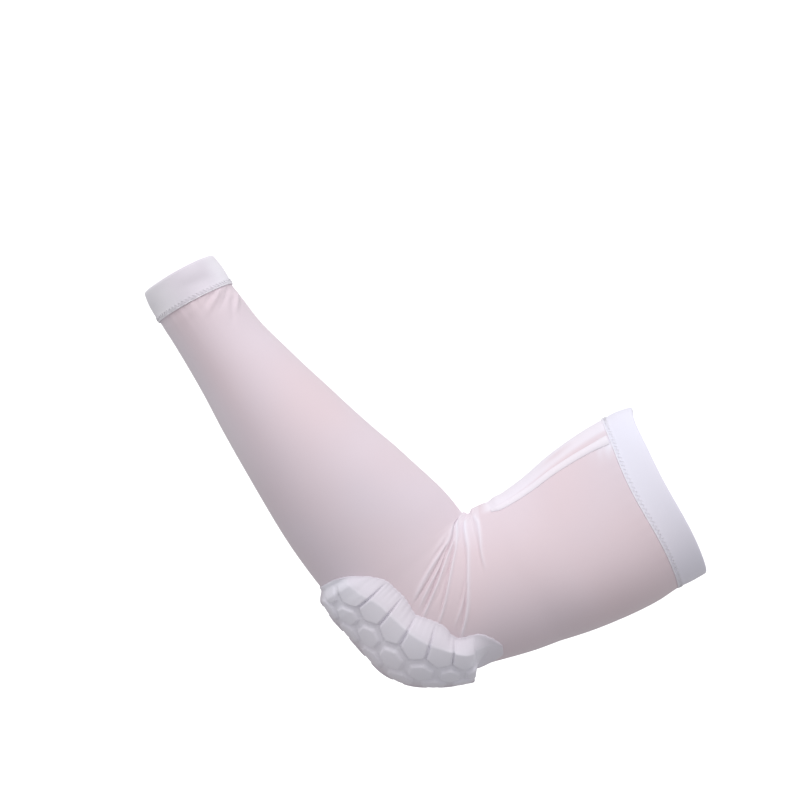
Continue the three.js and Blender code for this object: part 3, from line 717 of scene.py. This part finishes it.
def pad_height(run, across_real, half):
    """Height of the pad, how far down its slopes it is, distance from its edge, and its tint, a
    painted shade on its flange and its downward middle.
    """
    draw = pad_read(2, run)
    across = np.abs(across_real) / draw
    d, outmost = cells(run, across_real / draw)
    edge = half / draw
    ridge_line = np.minimum(SIDE_ROWS * ROW_PITCH + 5.0, edge - 4.5)
    side = np.clip((across - ridge_line) / np.maximum(edge - 1.0 - ridge_line, 1.0), 0, 1)
    side = 0.75 * side + 0.25 * smooth(0, 1, side)
    start = 1 - np.interp(run, *PAD_RISE)
    soft_end = smooth(20, 34, np.abs(across_real))
    end = smooth(CELLS_END - 0.8 - 5 * soft_end, CELLS_END + 3.6 + 7 * soft_end, run)
    down = 1 - (1 - side) * (1 - start) * (1 - end)
    envelope = PAD_TOP + (PAD_THIN - PAD_TOP) * down
    third = outmost == SIDE_ROWS
    fine = 1.5 * smooth(0.84, 0.98, d) + 0.5 * smooth(0.9, 1, d)
    wide = (0.85 + 0.65 * smooth(6, 22, across)) * smooth(0.66, 0.84, d)
    groove = np.where(third, fine, wide) * (1 - down) ** 0.6
    pillow = np.where(third, 0.12, 0.22) * np.clip(d, 0, 1) ** 2 * (1 - down)
    from_edge = np.minimum(half - np.abs(across_real), np.minimum(run - PAD_FROM, PAD_TO - run))
    rim = np.clip(from_edge / 2.4, 0, 1)
    height = PAD_EDGE + (envelope - groove - pillow - PAD_EDGE) * np.sqrt(rim * (2 - rim))
    # painted shade: the tint darkens the up-tilted flange beyond the ridge line, and the pad's
    # downward middle
    flange = smooth(ridge_line - 0.5, ridge_line + 1.5, across)
    under = 1 - smooth(4, 20, across)
    return height, down, from_edge, np.maximum(0.42 * flange, 0.9 * under)


def angle_across(run, across):
    """The angle at a distance round the tube from its outside, measured along the surface."""
    arc = np.linspace(0, 2.6, ARC_STEPS)
    steps = np.linalg.norm(np.diff(bare(run[..., None], arc), axis=-2), axis=-1)
    lengths = np.concatenate([np.zeros(run.shape + (1,)), np.cumsum(steps, axis=-1)], -1)
    angle = np.empty(run.shape)
    for at in np.ndindex(run.shape):
        angle[at] = np.sign(across[at]) * np.interp(abs(across[at]), lengths[at], arc)
    return angle


pad_run = np.linspace(PAD_FROM, PAD_TO, PAD_STEPS[0])[:, None]
scallop = 0.35 * np.abs(np.sin(pad_run * math.pi / 4.2))
half_width = pad_read(1, pad_run) * (SIDE_ROWS + 1) * ROW_PITCH + scallop
vs = np.linspace(-1, 1, PAD_STEPS[1])[None, :]
vs = np.sign(vs) * (1 - (1 - np.abs(vs)) ** 1.08)
across_real = half_width * vs
run, half = (np.broadcast_to(a, PAD_STEPS) for a in (pad_run, half_width))
heights, down, from_edge, painted_shade_mask = pad_height(run, across_real, half)
beyond = np.maximum(run - CELLS_END, 0)
run = run - beyond + beyond * (0.25 + 0.75 * smooth(0.1, 0.7, np.abs(vs)))
pad_angle = angle_across(run, across_real)
tab = smooth(CELLS_END + 1, CELLS_END + 7, run)
# The pad's darkening: the painted shade from pad_height, and a darker tint over the tab beyond the
# cells and along its sloping rim.
pad_darkening = np.maximum(painted_shade_mask, 0.3 * tab) + 0.25 * np.exp(-from_edge / 1.8) * down
pad = slab("pad_skin", cloth(run, pad_angle, heights), cloth(run, pad_angle, UNDERSIDE),
           flat(np.stack([run, across_real], -1)), np.clip(pad_darkening, 0, 1).ravel())
pad.data.materials.append(mat_pad)
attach(pad, "root")
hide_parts("pad_base", *[f"hex_cell_{k:02d}" for k in range(1, 46)])

# ---------------------------------------------------------------- floor, light and camera, metres
FLOOR_Z = -0.30
SWEEP_HALF_WIDTH = 4.0
SWEEP_BACK = 1.2
SWEEP_RADIUS = 0.9
SWEEP_TOP = 3.2
CAMERA_DISTANCE = 1.3
VIEW_WIDTH = 0.448
SENSOR_WIDTH = 36

profile = [(-2.2, FLOOR_Z)] + [(y, FLOOR_Z) for y in np.linspace(-1.5, SWEEP_BACK, 6)]
profile += [(SWEEP_BACK + SWEEP_RADIUS * math.sin(t), FLOOR_Z + SWEEP_RADIUS * (1 - math.cos(t)))
            for t in np.linspace(0.1, math.pi / 2, 14)]
profile += [(SWEEP_BACK + SWEEP_RADIUS, SWEEP_TOP)]
mesh = bpy.data.meshes.new("sweep")
mesh.from_pydata([(x, y, z) for y, z in profile for x in (-SWEEP_HALF_WIDTH, SWEEP_HALF_WIDTH)], [],
                 [(2 * i, 2 * i + 1, 2 * i + 3, 2 * i + 2) for i in range(len(profile) - 1)])
mesh.polygons.foreach_set("use_smooth", [True] * len(mesh.polygons))
sweep = bpy.data.objects.new("sweep", mesh)
bpy.context.scene.collection.objects.link(sweep)
paper = bpy.data.materials.new("pale_paper")
paper.use_nodes = True
shader = paper.node_tree.nodes["Principled BSDF"]
shader.inputs["Base Color"].default_value = (0.93, 0.93, 0.94, 1)
shader.inputs["Roughness"].default_value = 0.95
shader.inputs["Emission Color"].default_value = (1, 1, 1, 1)
shader.inputs["Emission Strength"].default_value = 0.55
grain = add_node(paper.node_tree, "ShaderNodeTexNoise", {"Scale": 60})
lift = add_node(paper.node_tree, "ShaderNodeBump", {"Strength": 0.02})
paper.node_tree.links.new(grain.outputs["Fac"], lift.inputs["Height"])
paper.node_tree.links.new(lift.outputs["Normal"], shader.inputs["Normal"])
sweep.data.materials.append(paper)
sweep.visible_diffuse = False
sweep.visible_glossy = False

lamp_data = bpy.data.lights.new("top_soft", "AREA")
lamp_data.shape = "RECTANGLE"
lamp_data.size, lamp_data.size_y = 1.5, 1.2
lamp_data.energy = 11
lamp = bpy.data.objects.new("top_soft", lamp_data)
bpy.context.scene.collection.objects.link(lamp)
lamp_place, lamp_target = Vector((-0.05, -0.95, 1.25)), Vector((-0.02, 0.0, 0.08))
lamp.location = lamp_place
lamp.rotation_euler = (lamp_target - lamp_place).to_track_quat("-Z", "Y").to_euler()

# The sky is dim below and bright above.
world = bpy.data.worlds.new("studio")
world.use_nodes = True
sky = world.node_tree
direction = add_node(sky, "ShaderNodeTexCoord")
split = add_node(sky, "ShaderNodeSeparateXYZ")
sky.links.new(direction.outputs["Generated"], split.inputs["Vector"])
level = add_node(sky, "ShaderNodeMapRange",
                 {"From Min": -1.0, "From Max": 1.0, "To Min": 0.36, "To Max": 0.90})
sky.links.new(split.outputs["Z"], level.inputs["Value"])
sky.links.new(level.outputs["Result"], sky.nodes["Background"].inputs["Strength"])
sky.nodes["Background"].inputs["Color"].default_value = (0.995, 0.99, 1.0, 1)
bpy.context.scene.world = world
bpy.context.scene.view_settings.view_transform = "Standard"

camera_data = bpy.data.cameras.new("camera")
camera_data.sensor_width = SENSOR_WIDTH
camera_data.lens = SENSOR_WIDTH * CAMERA_DISTANCE / VIEW_WIDTH
camera_data.clip_end = 20
camera = bpy.data.objects.new("camera", camera_data)
camera.location = (-0.0207, -CAMERA_DISTANCE, 0.1058)
camera.rotation_euler = (math.pi / 2, 0, 0)
bpy.context.scene.collection.objects.link(camera)
bpy.context.scene.camera = camera
